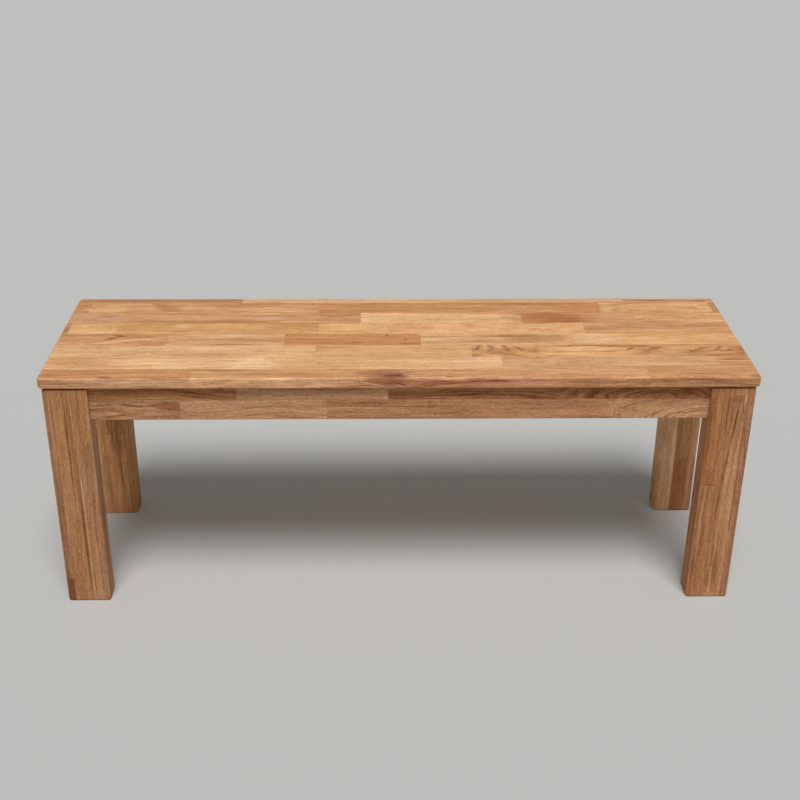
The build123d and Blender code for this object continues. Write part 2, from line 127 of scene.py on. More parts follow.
# Marks in the wood: place along and across, half length and half width, tone and strength, then, where they
# aren't 0, the tilt in degrees and the push on the rings; a push of -1 makes the rings calm
SEAT_MARKS = [
    [(-450, 163, 170, 30, "bark", 0.4), (-552, 165, 14, 9, "russet", 0.5),
     (480, 164, 48, 3.5, "umber", 0.7, -3), (570, 158, 26, 4, "russet", 0.7),
     (462, 156, 36, 3, "straw", 0.6, -3), (-250, 156, 40, 5, "amber", 0.6)],
    [(-430, 130, 44, 19, "brown", 1.0, -38, 5), (-425, 117, 24, 10, "amber", 0.8, -20),
     (-428, 123, 22, 9, "russet", 0.4, -30), (-470, 144, 24, 5, "rose", 0.6, -20),
     (-385, 130, 22, 14, "straw", 0.9, -30), (-352, 125, 16, 18, "straw", 0.8),
     (-520, 140, 50, 7, "rose", 0.7), (-537, 119, 50, 13, "pale", 1.0), (-310, 140, 30, 8, "amber", 0.8),
     (-225, 119, 80, 13, "pale", 0.8), (115, 127, 250, 30, "tan", 0.35),
     (120, 130, 70, 4, "honey", 0.9, 12), (165, 115, 46, 6, "brown", 0.7, 5),
     (392, 125, 14, 24, "pale", 0.6, 0, -1), (594, 130, 10, 24, "pink", 0.5),
     (490, 128, 46, 10, "straw", 0.6)],
    [(-526, 84, 31, 24, "pink", 0.7), (-300, 62, 112, 3.6, "russet", 0.8), (-240, 79, 40, 13, "blush", 0.9),
     (-245, 98, 46, 6, "pale", 0.6), (-110, 88, 38, 12, "brown", 0.5, 0, 6),
     (-60, 79, 10, 26, "cream", 0.5), (276, 80, 90, 66, "russet", 0.75, -8, 2),
     (296, 70, 48, 18, "russet", 0.7, -8), (352, 90, 26, 4, "brown", 0.6, -10),
     (480, 75, 46, 4, "brown", 0.5), (485, 60, 72, 5, "brown", 0.65), (565, 68, 40, 4, "pale", 0.7)],
    [(-390, 42, 20, 12, "pale", 0.7), (-545, 13, 45, 3, "cream", 0.5), (390, 45, 62, 3, "brown", 0.6, 3),
     (400, 22, 70, 3, "brown", 0.5), (500, 34, 80, 3, "ash", 0.5, 2), (-60, 34, 60, 4, "rose", 0.6)],
    [(-540, 3, 72, 4, "brown", 0.7), (-486, -13, 84, 3.2, "brown", 0.9, 12),
     (-486, -22, 84, 4.4, "pale", 0.9, 12), (-470, -31, 72, 4, "brown", 0.8, 11),
     (-520, -32, 60, 4, "pale", 0.7, 10), (-560, -16, 44, 2.8, "russet", 0.6, 6),
     (-432, -33, 34, 12, "brown", 0.8, 8), (-496, 1, 17, 5, "umber", 1.0, -24, 1),
     (-506, -11, 19, 4.6, "umber", 0.9, 20, 1), (-474, 3, 40, 3.4, "brown", 0.8),
     (-300, -7, 100, 3.4, "cream", 0.6), (-310, 2, 90, 4, "cream", 0.6),
     (-300, -19, 112, 5.2, "brown", 0.9), (-290, -38, 56, 4.2, "umber", 0.55),
     (-250, 5, 40, 3, "straw", 0.6), (-130, -19, 82, 3.4, "brown", 0.9), (-120, -33, 82, 9, "brown", 0.6),
     (18, -20, 22, 17, "amber", 0.8, 0, 5), (18, -37, 22, 3.4, "umber", 0.6),
     (10, -20, 3, 9, "umber", 0.45), (-22, 0, 4, 6, "umber", 0.9, 0, 2), (250, -14, 66, 16, "brown", 0.6),
     (190, -4, 40, 5, "russet", 0.5), (350, -15, 52, 24, "cream", 0.9)],
    [(-520, -47, 12, 3, "brown", 0.6), (-482, -83, 16, 3, "brown", 0.7, 12, 3),
     (-240, -65, 12, 5, "brown", 0.5, 0, 2), (-360, -83, 70, 3, "tan", 0.6), (165, -66, 46, 24, "tan", 0.7),
     (137, -52, 15, 5.5, "clove", 0.85, 66, 2), (131, -62, 10, 6, "clove", 0.6, 55),
     (158, -50, 13, 5.5, "clove", 0.85, 118, 2), (157, -64, 12, 6, "clove", 0.7, 45),
     (183, -50, 13, 5.5, "clove", 0.85, 110, 2), (186, -63, 11, 6.5, "clove", 0.7, 82),
     (207, -58, 17, 6, "clove", 0.75, -48, 1), (131, -87, 13, 6, "clove", 0.7, 10),
     (152, -76, 24, 4, "brown", 1.0, 12), (186, -80, 26, 4, "brown", 1.0, -18),
     (226, -71, 22, 4, "brown", 0.9, -20), (238, -54, 12, 5, "brown", 0.8, 70),
     (148, -54, 8, 4, "rose", 0.6, 80), (172, -54, 8, 4, "rose", 0.6, 100), (312, -57, 80, 9, "pale", 0.9),
     (300, -82, 76, 4, "pale", 0.7), (238, -68, 30, 3.4, "brown", 1.0, -8),
     (300, -71.5, 62, 3.2, "brown", 1.0), (372, -69, 34, 3.4, "russet", 0.8, 6),
     (402, -59, 16, 4.4, "brown", 1.0, 45), (512, -66, 106, 26, "tan", 0.7),
     (480, -44, 112, 4, "brown", 0.8), (484, -57, 20, 8, "rose", 0.3), (505, -86, 100, 6, "brown", 0.7),
     (432, -72, 22, 6, "brown", 0.8, 15), (441, -61, 27, 7, "brown", 1.0, 30, 2),
     (508, -74, 20, 5, "brown", 0.8, 15), (521, -63, 27, 7, "brown", 1.0, 30, 2),
     (553, -61, 16, 5, "brown", 1.0, 50, 1), (574, -62, 14, 5.5, "brown", 0.9, 55),
     (400, -60, 15, 2.6, "umber", 0.7, 45), (440, -60, 24, 3.6, "umber", 0.6, 30),
     (520, -62, 24, 3.6, "umber", 0.6, 30), (553, -61, 14, 3, "umber", 0.6, 50),
     (574, -63, 13, 3, "umber", 0.5, 55), (586, -68, 20, 26, "brown", 0.7),
     (594, -68, 16, 24, "russet", 0.6)],
    [(-545, -110, 84, 26, "tan", 0.6), (-520, -132, 72, 7, "tan", 0.7), (-560, -118, 40, 9, "honey", 0.8),
     (-470, -96, 30, 4, "tan", 0.6), (-340, -120, 150, 20, "cream", 0.45, -4),
     (-254, -116, 52, 44, "cream", 1.0), (-250, -114, 42, 30, "milk", 0.25),
     (120, -115, 58, 24, "rose", 0.8), (236, -106, 16, 16, "tan", 0.9, 20, 3),
     (232, -100, 14, 4, "amber", 0.8, 30), (215, -98, 30, 3, "tan", 0.7, -10),
     (290, -104, 46, 2.6, "amber", 0.8, 6), (310, -118, 70, 3, "tan", 0.8, 3),
     (380, -128, 90, 5, "pale", 0.5), (572, -103, 26, 5, "russet", 0.8), (565, -96, 30, 2.4, "rose", 0.8)],
    [(-490, -171, 17, 5, "umber", 0.7), (-540, -150, 46, 3, "russet", 0.6),
     (-300, -144, 82, 3.5, "umber", 0.5), (-420, -158, 120, 3, "honey", 0.6, 2),
     (-28, -160, 56, 30, "clove", 0.8, 0, 7), (-12, -170, 27, 13, "plum", 0.75, 0, 4),
     # The long pale mark at -335, -176 is a painted highlight along the front edge's rounding
     (-60, -156, 16, 14, "brown", 0.5), (-335, -176, 262, 3.4, "pale", 0.9),
     (-200, -160, 90, 3, "russet", 0.4, 2), (80, -173, 8, 4, "umber", 0.8),
     (120, -165, 96, 2, "russet", 0.5, 1), (170, -158, 140, 12, "amber", 0.6),
     (270, -158, 120, 3, "straw", 0.6), (512, -160, 60, 4, "russet", 0.5),
     (590, -172, 12, 8, "umber", 0.6)],
]
# The same on the seat's front edge, with the height in place of the place across
EDGE_MARKS = [
    (-475, 436, 150, 14, "blush", 0.8), (-210, 436, 170, 14, "rose", 0.8),
    (170, 436, 300, 14, "brick", 1.0), (290, 437, 110, 8, "peach", 0.35), (90, 436, 60, 6, "umber", 0.25),
    (510, 436, 90, 14, "pink", 0.6), (500, 439, 100, 5, "brick", 0.6), (-560, 437, 26, 1.2, "brown", 0.4),
    # The pale marks high on the edge at -330 and -160 are a painted highlight along its top rounding
    (-500, 432, 70, 1.6, "amber", 0.6), (-450, 434, 60, 1.4, "tan", 0.6), (-330, 441, 120, 3, "pale", 0.55),
    (-230, 433, 90, 1.6, "tan", 0.5), (-160, 440, 70, 1.6, "pale", 0.6), (-30, 437, 46, 10, "clove", 0.9),
    (-38, 437, 32, 12, "clove", 0.7), (-18, 440, 42, 8, "umber", 0.9), (-4, 435, 20, 1.8, "plum", 0.9, -22),
    (-45, 433, 26, 1.4, "rose", 0.7, -12), (52, 431.5, 20, 1.8, "umber", 0.9, 8),
    (88, 435, 26, 1.9, "umber", 1.0, 8), (122, 438.5, 24, 1.9, "umber", 1.0, 8),
    (158, 440, 30, 2.0, "plum", 0.8), (85, 442.5, 40, 2, "rose", 0.7), (210, 433, 90, 1.8, "rose", 0.35),
    (270, 430, 145, 2, "copper", 0.8), (250, 441, 60, 1.8, "umber", 0.35),
    (340, 437, 70, 1.4, "umber", 0.35, 1), (330, 435, 90, 3, "copper", 0.6),
    (520, 439.5, 84, 1.8, "umber", 0.7, -3), (520, 437, 60, 1.6, "rose", 0.6),
    (556, 433, 50, 1.6, "umber", 0.6, -5), (500, 430, 60, 1.6, "straw", 0.5),
]

# The aprons: lower and upper strips, with stave ends along the apron
APRONS = {
    "apron_front_upper": [
        (-274, "amber", "rift"), (-21, "rose", "plain"), (267, "brown", "hill", 110),
        (520.5, "brown", "curl", 435)],
    "apron_front_lower": [
        (-370, "ash", "flame", -500), (-124, "rose", "plain"), (360, "peach", "plain"),
        (520.5, "rose", "fan", 522)],
    "apron_back_upper": [
        (-196, "tan", "plain"), (133, "honey", "flame"), (360, "amber", "rift"), (520.5, "brown", "plain")],
    "apron_back_lower": [
        (-323, "honey", "rift"), (-29, "tan", "flame", -180), (245, "brown", "plain"),
        (520.5, "straw", "plain")],
    "apron_left_upper": [(35, "honey", "rift"), (126.5, "brown", "plain")],
    "apron_left_lower": [(-37, "tan", "plain"), (126.5, "amber", "flame", 50)],
    "apron_right_upper": [(-22, "amber", "plain"), (126.5, "tan", "rift")],
    "apron_right_lower": [(48, "honey", "flame", -40), (126.5, "pink", "plain")],
}
APRON_MARKS = {
    "apron_front_upper": [
        (-345, 412, 74, 3.2, "umber", 0.9, -9), (-330, 404, 50, 1.8, "plum", 0.8, -7),
        (-440, 418, 70, 3, "umber", 0.5), (-420, 403, 60, 1.6, "rose", 0.5, 3),
        (-50, 411, 26, 9, "rose", 0.7), (-160, 419, 100, 3, "russet", 0.5),
        (100, 406, 76, 2, "umber", 0.8, 9), (60, 403, 56, 1.8, "rose", 0.6),
        (480, 411, 16, 10, "umber", 0.8, 0, 3), (325, 412, 16, 10, "umber", 0.6, 60, 3),
        (290, 410, 10, 10, "umber", 0.5, 70, 2), (452, 404, 30, 3, "russet", 0.6)],
    "apron_front_lower": [
        (-388, 384, 26, 14, "brick", 0.8), (-470, 376, 40, 4, "straw", 0.8, 6),
        (-498, 390, 26, 1.8, "umber", 0.9, 6), (-452, 390, 26, 1.8, "umber", 0.9, -6),
        (-408, 391, 30, 1.8, "umber", 0.8, 8), (-480, 395, 44, 1.8, "tan", 0.9, 4),
        (-440, 383, 50, 1.6, "straw", 0.8, 3), (-480, 370, 44, 1.8, "umber", 0.6, 4),
        (-500, 384, 36, 1.6, "umber", 0.7, 3), (-440, 369, 40, 2, "brick", 0.6),
        (-260, 383, 90, 2, "amber", 0.7, 7), (-240, 372, 90, 2, "tan", 0.7, 6),
        (-170, 366, 44, 1.8, "russet", 0.7), (-60, 393, 62, 1.6, "russet", 0.7),
        (-40, 387, 80, 1.4, "umber", 0.5, -1), (-85, 384, 38, 1.3, "cream", 0.6),
        (-90, 376, 34, 1.3, "umber", 0.5), (-70, 371, 55, 3, "pale", 0.6),
        (60, 386, 80, 1.4, "russet", 0.5), (240, 385, 110, 12, "brick", 0.3),
        (30, 369, 40, 1.6, "pale", 0.6), (398, 380, 62, 26, "pale", 0.6, 0, -1),
        (385, 387, 22, 2, "russet", 0.7, 18), (385, 380, 22, 1.6, "russet", 0.7, -12),
        (425, 370, 24, 1.6, "russet", 0.6, 24)],
}

# The legs, from the foot up
LEGS = {
    "leg_front_left_outer": [(47, "umber", "plain"), (424, "bark", "rift")],
    "leg_front_left_middle": [(424, "tan", "plain")],
    "leg_front_left_inner": [(325, "ash", "rift"), (424, "tan", "plain")],
    "leg_front_right_outer": [(392, "pink", "rift"), (424, "tan", "plain")],
    "leg_front_right_middle": [(11, "straw", "plain"), (424, "peach", "rift")],
    "leg_front_right_inner": [(235, "copper", "rift"), (424, "amber", "plain")],
    # The back left leg's blond staves are lighter than its oak: painted light for what the seat's shade takes
    # from it
    "leg_back_left_outer": [(296, "blond", "plain"), (424, "rose", "rift")],
    "leg_back_left_middle": [(179, "blond", "rift"), (424, "honey", "plain")],
    "leg_back_left_inner": [(271, "straw", "plain"), (424, "amber", "rift")],
    "leg_back_right_outer": [(120, "ash", "rift"), (424, "fawn", "plain")],
    "leg_back_right_middle": [(120, "amber", "plain"), (424, "tan", "rift")],
    "leg_back_right_inner": [(343, "milk", "plain"), (424, "fawn", "rift")],
}
LEG_MARKS = {
    "leg_front_left_outer": [
        (18, -588, 36, 16, "clove", 0.5), (240, -590, 180, 3, "umber", 0.4),
        (340, -584, 90, 2, "tan", 0.6)],
    "leg_front_left_middle": [
        (210, -570, 200, 9, "straw", 0.5), (310, -561.5, 150, 2.4, "umber", 0.8),
        (290, -554.5, 160, 5, "russet", 0.45), (360, -549.8, 76, 2.2, "cream", 0.6),
        (110, -551.6, 140, 2.4, "umber", 0.9), (60, -570, 60, 5, "amber", 0.5, 0, 2)],
    "leg_front_left_inner": [
        (306, -536, 22, 8, "russet", 0.5), (150, -547.4, 170, 1.5, "cream", 0.9),
        (200, -532, 110, 2.4, "russet", 0.5), (40, -543.6, 50, 1.8, "umber", 0.6),
        (390, -538, 44, 2, "umber", 0.4), (120, -526, 90, 2, "pink", 0.6)],
    "leg_front_right_middle": [
        (375, 551, 55, 1.8, "umber", 0.9, 1, 2), (352, 566, 52, 2, "umber", 1.0, 4, 2),
        (275, 560, 50, 1.9, "umber", 0.9, 4, 2), (190, 555, 60, 1.6, "umber", 0.7, 3),
        (365, 559.5, 36, 1.5, "umber", 0.7, 4, 1), (375, 578, 26, 1.7, "umber", 0.8, -7),
        (300, 577, 90, 2.8, "rose", 0.7, 2), (230, 565, 80, 3.4, "rose", 0.6, 3),
        (402, 568, 9, 13, "brown", 0.9), (402, 579.5, 12, 2, "cream", 0.9), (411, 568, 2, 12, "pale", 0.7),
        (60, 566, 50, 5, "russet", 0.7, 0, 3), (84, 559, 34, 2.4, "umber", 0.6),
        (36, 556, 24, 4, "russet", 0.6)],
    "leg_front_right_inner": [
        (330, 524, 90, 3, "umber", 0.6), (250, 538, 22, 6, "russet", 0.6, 3),
        (320, 541, 90, 2, "umber", 0.4), (236, 535, 1.6, 15, "umber", 0.7), (150, 530, 80, 2, "rose", 0.6),
        (60, 528, 60, 6, "russet", 0.35)],
    "leg_front_right_outer": [
        (323, 586.6, 45, 1.7, "umber", 0.8, -7), (90, 588, 90, 5, "umber", 0.3),
        (200, 582, 70, 2, "umber", 0.5), (200, 592, 160, 2, "umber", 0.4), (150, 586, 200, 3, "tan", 0.5)],
    "leg_back_left_outer": [
        # The flare mark is painted light, lifting the leg in the seat's shade
        (100, -583, 110, 3, "milk", 0.7), (60, -570, 60, 6, "flare", 0.6),
        (210, -576, 60, 12, "rose", 0.5)],
    "leg_back_left_middle": [
        (345, -546, 20, 20, "russet", 0.7), (80, -545, 70, 2, "brick", 0.6),
        (250, -548, 110, 18, "brick", 0.45), (155, -548, 34, 20, "brick", 0.5),
        (80, -538, 90, 2.4, "rose", 0.7), (250, -556, 90, 2.4, "umber", 0.6)],
    "leg_back_left_inner": [(350, -527, 16, 10, "umber", 0.8)],
    "leg_back_right_inner": [
        (50, 535, 90, 34, "pale", 0.6), (260, 530, 110, 2.4, "rose", 0.6), (180, 548, 150, 3, "milk", 0.8)],
    "leg_back_right_middle": [(60, 566, 80, 15, "umber", 0.35)],
}

# The marks' ragged rims: how long and wide the rags are in millimetres, then how far they reach and where a
# mark starts and is full, as shares of the mark
RAG_LENGTH, RAG_WIDTH, RAG_REACH = 30, 5, 1.1
MARK_RIM, MARK_FULL = 1.15, 0.35

# A colour ramp holds shares from 0 to 1, so the staves' own numbers are stored in shares of these
STRETCH_SPAN, PITH_SPAN, GAP_SPAN, BENCH_SPAN = 400, 200, 10, 1200

# The step and the start of the seeds of each kind of strip
SEAT_SEED, APRON_SEED, LEG_SEED, BLOCK_SEED = (11.7, 0), (5.9, 2), (3.3, 1), (2.1, 40)

# How far one seed shifts the noises and the rings' strengths, and how far one stave's seed is from the next
NOISE_SHIFT, RING_SHIFT, STAVE_STEP = 3.7, 1.9, 5.3

# Where these fade in: by the noise, or by how the face is turned
PORE_FADE, FLECK_FADE = (0.60, 0.74), (0.54, 0.68)
TOP_FADE, FRONT_FADE, END_FADE, HIGHLIGHT_EDGE_FADE = (0.3, 0.8), (-0.4, -0.8), (0.5, 0.95), (0.98, 0.80)

# How strong the short dashes in the grain are
DASH, SEAT_DASH, FAINT_DASH = 0.95, 0.55, 0.5

# The wood's noises: how long and wide their patches are, each one's own shift, and its detail
NOISES = {
    "slow wander": (170, 26, 1.3, 2.0),
    "quick wander": (34, 6, 4.1, 2.0),
    "mottle": (24, 5, 6.3, 1.0),
    "cloud": (130, 20, 7.7, 1.0),
    "fibre": (16, 0.7, 2.2, 1.0),
    "pore": (7, 0.36, 5.5, 0.0),
    "ray": (3.2, 11, 9.1, 1.0),
    "dash": (7, 1.3, 3.3, 1.0),
    "drift": (60, 9, 12.9, 1.0),
}
# How far each wander pushes the rings aside, in millimetres
WANDERS = {"slow wander": 14.0, "quick wander": 1.6}
# Streaks along the rings: their length and width
BROAD_STREAK, NARROW_STREAK = (260, 5.5), (45, 1.7)
# How dark a ring is from its line to the next one
RING = ((0.0, 1), (0.16, 0.7), (0.46, 0.12), (0.9, 0), (1.0, 1))
# The weakest ring line, and how strong pores are between the lines, as shares of the strongest
LEAST_LINE, LEAST_PORE = 0.3, 0.25
# How much each of these lightens the wood, then its plain shade, its darkest, and what calm does to the rings
SHADES = {"broad": 1.3, "narrow": 0.75, "line": -0.40, "mottle": 0.30, "cloud": 0.45, "fibre": 0.30,
          "pore": -0.30, "ray": 0.16, "end": -0.22}
PLAIN, DARKEST, CALMING = 1.05, 0.2, -0.8
# For red, green and blue: the power of the shade, and how far the hue drifts
CHANNELS = ((1, -0.05), (1.25, 0.09), (1.55, -0.05))
# The roughness of plain wood, and what pores, streaks and end grain add
ROUGHNESS, PORE_ROUGHNESS, STREAK_ROUGHNESS, END_ROUGHNESS = 0.54, 0.25, 0.12, 0.16
# How far pores, fibres and ring lines stand out, as shares of the bump's depth
PORE_HEIGHT, FIBRE_HEIGHT, LINE_HEIGHT = -1.0, 0.35, -0.25
BUMP_DEPTH, BUMP_STRENGTH = 0.0004, 0.35
# A painted highlight makes rounded edges lighter by this; glue lines are this wide on each side and this dark
PAINTED_EDGE_HIGHLIGHT, GLUE_REACH, GLUE_SHADE = 0.10, 0.16, (0.62, 0.55, 0.5)
# Bands on the seat's front edge: their length, width and strength
BAND_LENGTH, BAND_WIDTH, BAND_STRENGTH = 55, 2.4, 0.9
# How strongly oiled wood mirrors
OAK_GLOSS = 0.05

# The zinc's roughness and colour, from cloud to cloud, where its clouds fade in, and their detail
ZINC_ROUGHNESS, ZINC_FADE, ZINC_DETAIL = (0.22, 0.42), (0.3, 0.7), 4.0
ZINC_COLOURS = (0.60, 0.61, 0.62, 1), (0.74, 0.74, 0.72, 1)
# Edges of the fine pieces that turn by more degrees than this stay sharp
SHARP_TURN = 28

# The photograph's width, in pixels
PICTURE_WIDTH = 800
# The soft light: its strength, and its width and tilts in degrees
SUN_STRENGTH, SUN_WIDTH, SUN_TILTS = 2.95, 26, (24, 2)
# The faint light from all round, and what is added to it where the room itself is seen
ROOM_LIGHT, ROOM_SEEN, ROOM_COLOUR = 0.17, 0.45, (1.0, 1.0, 0.96, 1)
# The floor's half width and its drop below the feet, in metres, and its roughness; then its colour in the
# light that it throws back, the colour that is seen, and its glow there
FLOOR_REACH, FLOOR_DROP, FLOOR_ROUGHNESS = 12, 0.0003, 0.85
FLOOR_COLOUR, FLOOR_SEEN, FLOOR_GLOW = (0.62, 0.61, 0.59, 1), (0.45, 0.45, 0.44, 1), 0.04


def linear(tone, tint):
    """A named tone as the shader takes it."""
    shares = [part / 255 for part in TONES[tone]]
    return tuple(t * ((s + 0.055) / 1.055) ** 2.4 for s, t in zip(shares, tint)) + (1,)


class Graph:
    """Short calls that add nodes to one tree and give back their output sockets."""

    def __init__(self, tree):
        self.nodes = tree.nodes
        self.links = tree.links

    def put(self, kind, inputs=None, out=0, **settings):
        node = self.nodes.new(kind)
        for name, value in settings.items():
            setattr(node, name, value)
        for place, value in (inputs or {}).items():
            if isinstance(value, bpy.types.NodeSocket):
                self.links.new(value, node.inputs[place])
            else:
                node.inputs[place].default_value = value
        return node.outputs[out]

    def math(self, operation, *values):
        return self.put("ShaderNodeMath", dict(enumerate(values)), operation=operation)

    def vector(self, operation, *values, out=0):
        return self.put("ShaderNodeVectorMath", dict(enumerate(values)), out, operation=operation)

    def join(self, x, y, z):
        return self.put("ShaderNodeCombineXYZ", {0: x, 1: y, 2: z})

    def split(self, vector, lean=0):
        """The vector's three parts, with X and Y turned by some degrees."""
        if lean:
            vector = self.put("ShaderNodeVectorRotate", {"Vector": vector, "Angle": -math.radians(lean)},
                              rotation_type="Z_AXIS")
        node = self.nodes.new("ShaderNodeSeparateXYZ")
        self.links.new(vector, node.inputs[0])
        return node.outputs[0], node.outputs[1], node.outputs[2]

    def centred(self, value):
        return self.math("SUBTRACT", value, 0.5)

    def noise(self, vector, detail=2.0):
        return self.put("ShaderNodeTexNoise", {"Vector": vector, "Scale": 1.0, "Detail": detail})

    def fade(self, value, low, high, start=0.0, end=1.0):
        return self.put("ShaderNodeMapRange", {0: value, 1: low, 2: high, 3: start, 4: end},
                        interpolation_type="SMOOTHSTEP")

    def blend(self, share, first, second):
        return self.put("ShaderNodeMix", {0: share, 6: first, 7: second}, 2, data_type="RGBA")

    def ramp(self, value, stops, interpolation="LINEAR"):
        node = self.nodes.new("ShaderNodeValToRGB")
        self.links.new(value, node.inputs[0])
        ramp = node.color_ramp
        ramp.interpolation = interpolation
        while len(ramp.elements) < len(stops):
            ramp.elements.new(1.0)
        for element, (place, colour) in zip(ramp.elements, stops):
            element.position = place
            element.color = colour
        return node.outputs[0]


def oak_group():
    """Oak cut from one log: rings round a pith, pores along the grain, streaks, ray flecks and end grain."""
    tree = bpy.data.node_groups.new("oak", "ShaderNodeTree")
    for name, kind in (("Place", "Vector"), ("Seed", "Float"), ("Tone", "Color"), ("Shape", "Vector"),
                       ("Look", "Vector"), ("Extra", "Vector"), ("Lift", "Float"), ("End", "Float"),
                       ("Highlight_and_bands", "Float"), ("Dash", "Float"), ("Calm", "Float")):
        tree.interface.new_socket(name, in_out="INPUT", socket_type=f"NodeSocket{kind}")
    for name, kind in (("Color", "Color"), ("Roughness", "Float"), ("Height", "Float")):
        tree.interface.new_socket(name, in_out="OUTPUT", socket_type=f"NodeSocket{kind}")
    g = Graph(tree)
    given = g.nodes.new("NodeGroupInput").outputs
    along, across, deep = g.split(given["Place"])
    stretch, pith_across, pith_deep = g.split(given["Shape"])
    gap, lines, streaks = g.split(given["Look"])
    flecks, centre, _ = g.split(given["Extra"])
    seed = given["Seed"]

    def noise(name):
        """One of the wood's noises, in this stave's own piece of the log."""
        length, width, push, detail = NOISES[name]
        shift = g.math("MULTIPLY_ADD", seed, NOISE_SHIFT, push)
        place = g.join(g.math("MULTIPLY_ADD", along, 1 / length, shift),
                       g.math("MULTIPLY_ADD", across, 1 / width, shift), g.math("MULTIPLY", deep, 1 / width))
        return g.noise(place, detail)

    def streak(size, wander, side, detail):
        """Streaks that follow the rings."""
        length, width = size
        return g.noise(g.join(g.math("MULTIPLY_ADD", along, 1 / length, seed),
                              g.math("MULTIPLY", wander, 1 / width), side), detail)

    # The rings: their distance from a pith that wanders, in loops where the stave is cut flat
    loop = g.math("DIVIDE", g.math("SUBTRACT", along, centre), stretch)
    spoke = g.join(loop, g.math("SUBTRACT", across, pith_across), g.math("SUBTRACT", deep, pith_deep))
    wander = g.vector("LENGTH", spoke, out=1)
    for name, reach in WANDERS.items():
        wander = g.math("MULTIPLY_ADD", noise(name), reach, wander)
    wander = g.math("ADD", wander, given["Lift"])
    phase = g.math("DIVIDE", wander, gap)
    line = g.ramp(g.math("FRACT", phase), [(place, (dark, dark, dark, 1)) for place, dark in RING])
    each = g.math("MULTIPLY_ADD", seed, RING_SHIFT, g.math("FLOOR", phase))
    each = g.put("ShaderNodeTexWhiteNoise", {"W": each}, noise_dimensions="1D")
    line = g.math("MULTIPLY", line, g.math("MULTIPLY_ADD", each, 1 - LEAST_LINE, LEAST_LINE))

    broad = streak(BROAD_STREAK, wander, seed, 1.5)
    narrow = streak(NARROW_STREAK, wander, 0.0, 2.0)
    fibre = noise("fibre")
    pore = g.fade(noise("pore"), *PORE_FADE)
    pore = g.math("MULTIPLY", pore, g.math("MULTIPLY_ADD", line, 1 - LEAST_PORE, LEAST_PORE))
    ray = g.fade(noise("ray"), *FLECK_FADE)

    # How light the wood is: the rings first, which the calm marks weaken, then the rest
    rings = g.math("MULTIPLY", g.centred(broad), g.math("MULTIPLY", streaks, SHADES["broad"]))
    rings = g.math("MULTIPLY_ADD", g.centred(narrow), SHADES["narrow"], rings)
    rings = g.math("MULTIPLY_ADD", g.math("MULTIPLY", line, lines), SHADES["line"], rings)
    shade = g.math("MULTIPLY_ADD", rings, g.math("MULTIPLY_ADD", given["Calm"], CALMING, 1.0), PLAIN)
    for value, strength in ((g.centred(noise("mottle")), SHADES["mottle"]),
                            (g.centred(noise("cloud")), SHADES["cloud"]),
                            (g.centred(fibre), SHADES["fibre"]), (pore, SHADES["pore"]),
                            (g.math("MULTIPLY", ray, flecks), SHADES["ray"]),
                            (g.centred(noise("dash")), given["Dash"]), (given["End"], SHADES["end"])):
        shade = g.math("MULTIPLY_ADD", value, strength, shade)
    # The painted edge highlight and the front's bands lighten the shade here
    shade = g.math("MAXIMUM", g.math("ADD", shade, given["Highlight_and_bands"]), DARKEST)
    drift = g.centred(noise("drift"))
    channels = []
    for power, swing in CHANNELS:
        part = shade if power == 1 else g.math("POWER", shade, power)
        channels.append(g.math("MULTIPLY", part, g.math("MULTIPLY_ADD", drift, swing, 1.0)))
    colour = g.vector("MULTIPLY", given["Tone"], g.join(*channels))

    rough = g.math("MULTIPLY_ADD", pore, PORE_ROUGHNESS, ROUGHNESS)
    rough = g.math("MULTIPLY_ADD", g.centred(narrow), STREAK_ROUGHNESS, rough)
    rough = g.math("MULTIPLY_ADD", given["End"], END_ROUGHNESS, rough)
    height = g.math("MULTIPLY_ADD", pore, PORE_HEIGHT, g.math("MULTIPLY", fibre, FIBRE_HEIGHT))
    height = g.math("MULTIPLY_ADD", line, LINE_HEIGHT, height)
    out = g.nodes.new("NodeGroupOutput")
    for name, value in (("Color", colour), ("Roughness", rough), ("Height", height)):
        g.links.new(value, out.inputs[name])
    return tree


OAK = oak_group()


def new_material(name):
    """An empty material with its shader, and the graph to fill."""
    material = bpy.data.materials.new(name)
    material.use_nodes = True
    tree = material.node_tree
    tree.nodes.clear()
    g = Graph(tree)
    shader = tree.nodes.new("ShaderNodeBsdfPrincipled")
    out = tree.nodes.new("ShaderNodeOutputMaterial")
    tree.links.new(shader.outputs[0], out.inputs[0])
    return material, g, shader


def add_marks(g, along, across, tone, marks, tint, facing=None):
    """Lays soft ragged marks over the tone, and gives the tone, the push on the rings and their calm."""
    place = g.join(along, across, 1.0)
    ragged = g.noise(g.join(g.math("MULTIPLY", along, 1 / RAG_LENGTH),
                            g.math("MULTIPLY", across, 1 / RAG_WIDTH), 0.0))
    ragged = g.math("MULTIPLY_ADD", ragged, RAG_REACH, -RAG_REACH / 2)
    lift = calm = None
    for mark in marks:
        x, y, length, width, name, strength, tilt, push = (*mark, 0, 0)[:8]
        turn = math.radians(tilt)
        c, s = math.cos(turn), math.sin(turn)
        u = g.vector("DOT_PRODUCT", place, (c / length, s / length, -(x * c + y * s) / length), out=1)
        v = g.vector("DOT_PRODUCT", place, (-s / width, c / width, (x * s - y * c) / width), out=1)
        reach = g.math("ADD", g.vector("LENGTH", g.join(u, v, 0.0), out=1), ragged)
        share = g.fade(reach, MARK_RIM, MARK_FULL)
        if facing is not None:
            share = g.math("MULTIPLY", share, facing)
        tone = g.blend(g.math("MULTIPLY", share, strength), tone, linear(name, tint))
        if push > 0:
            lift = g.math("MULTIPLY_ADD", share, push, 0.0 if lift is None else lift)
        elif push < 0:
            calm = share if calm is None else g.math("MAXIMUM", calm, share)
    return tone, lift, calm


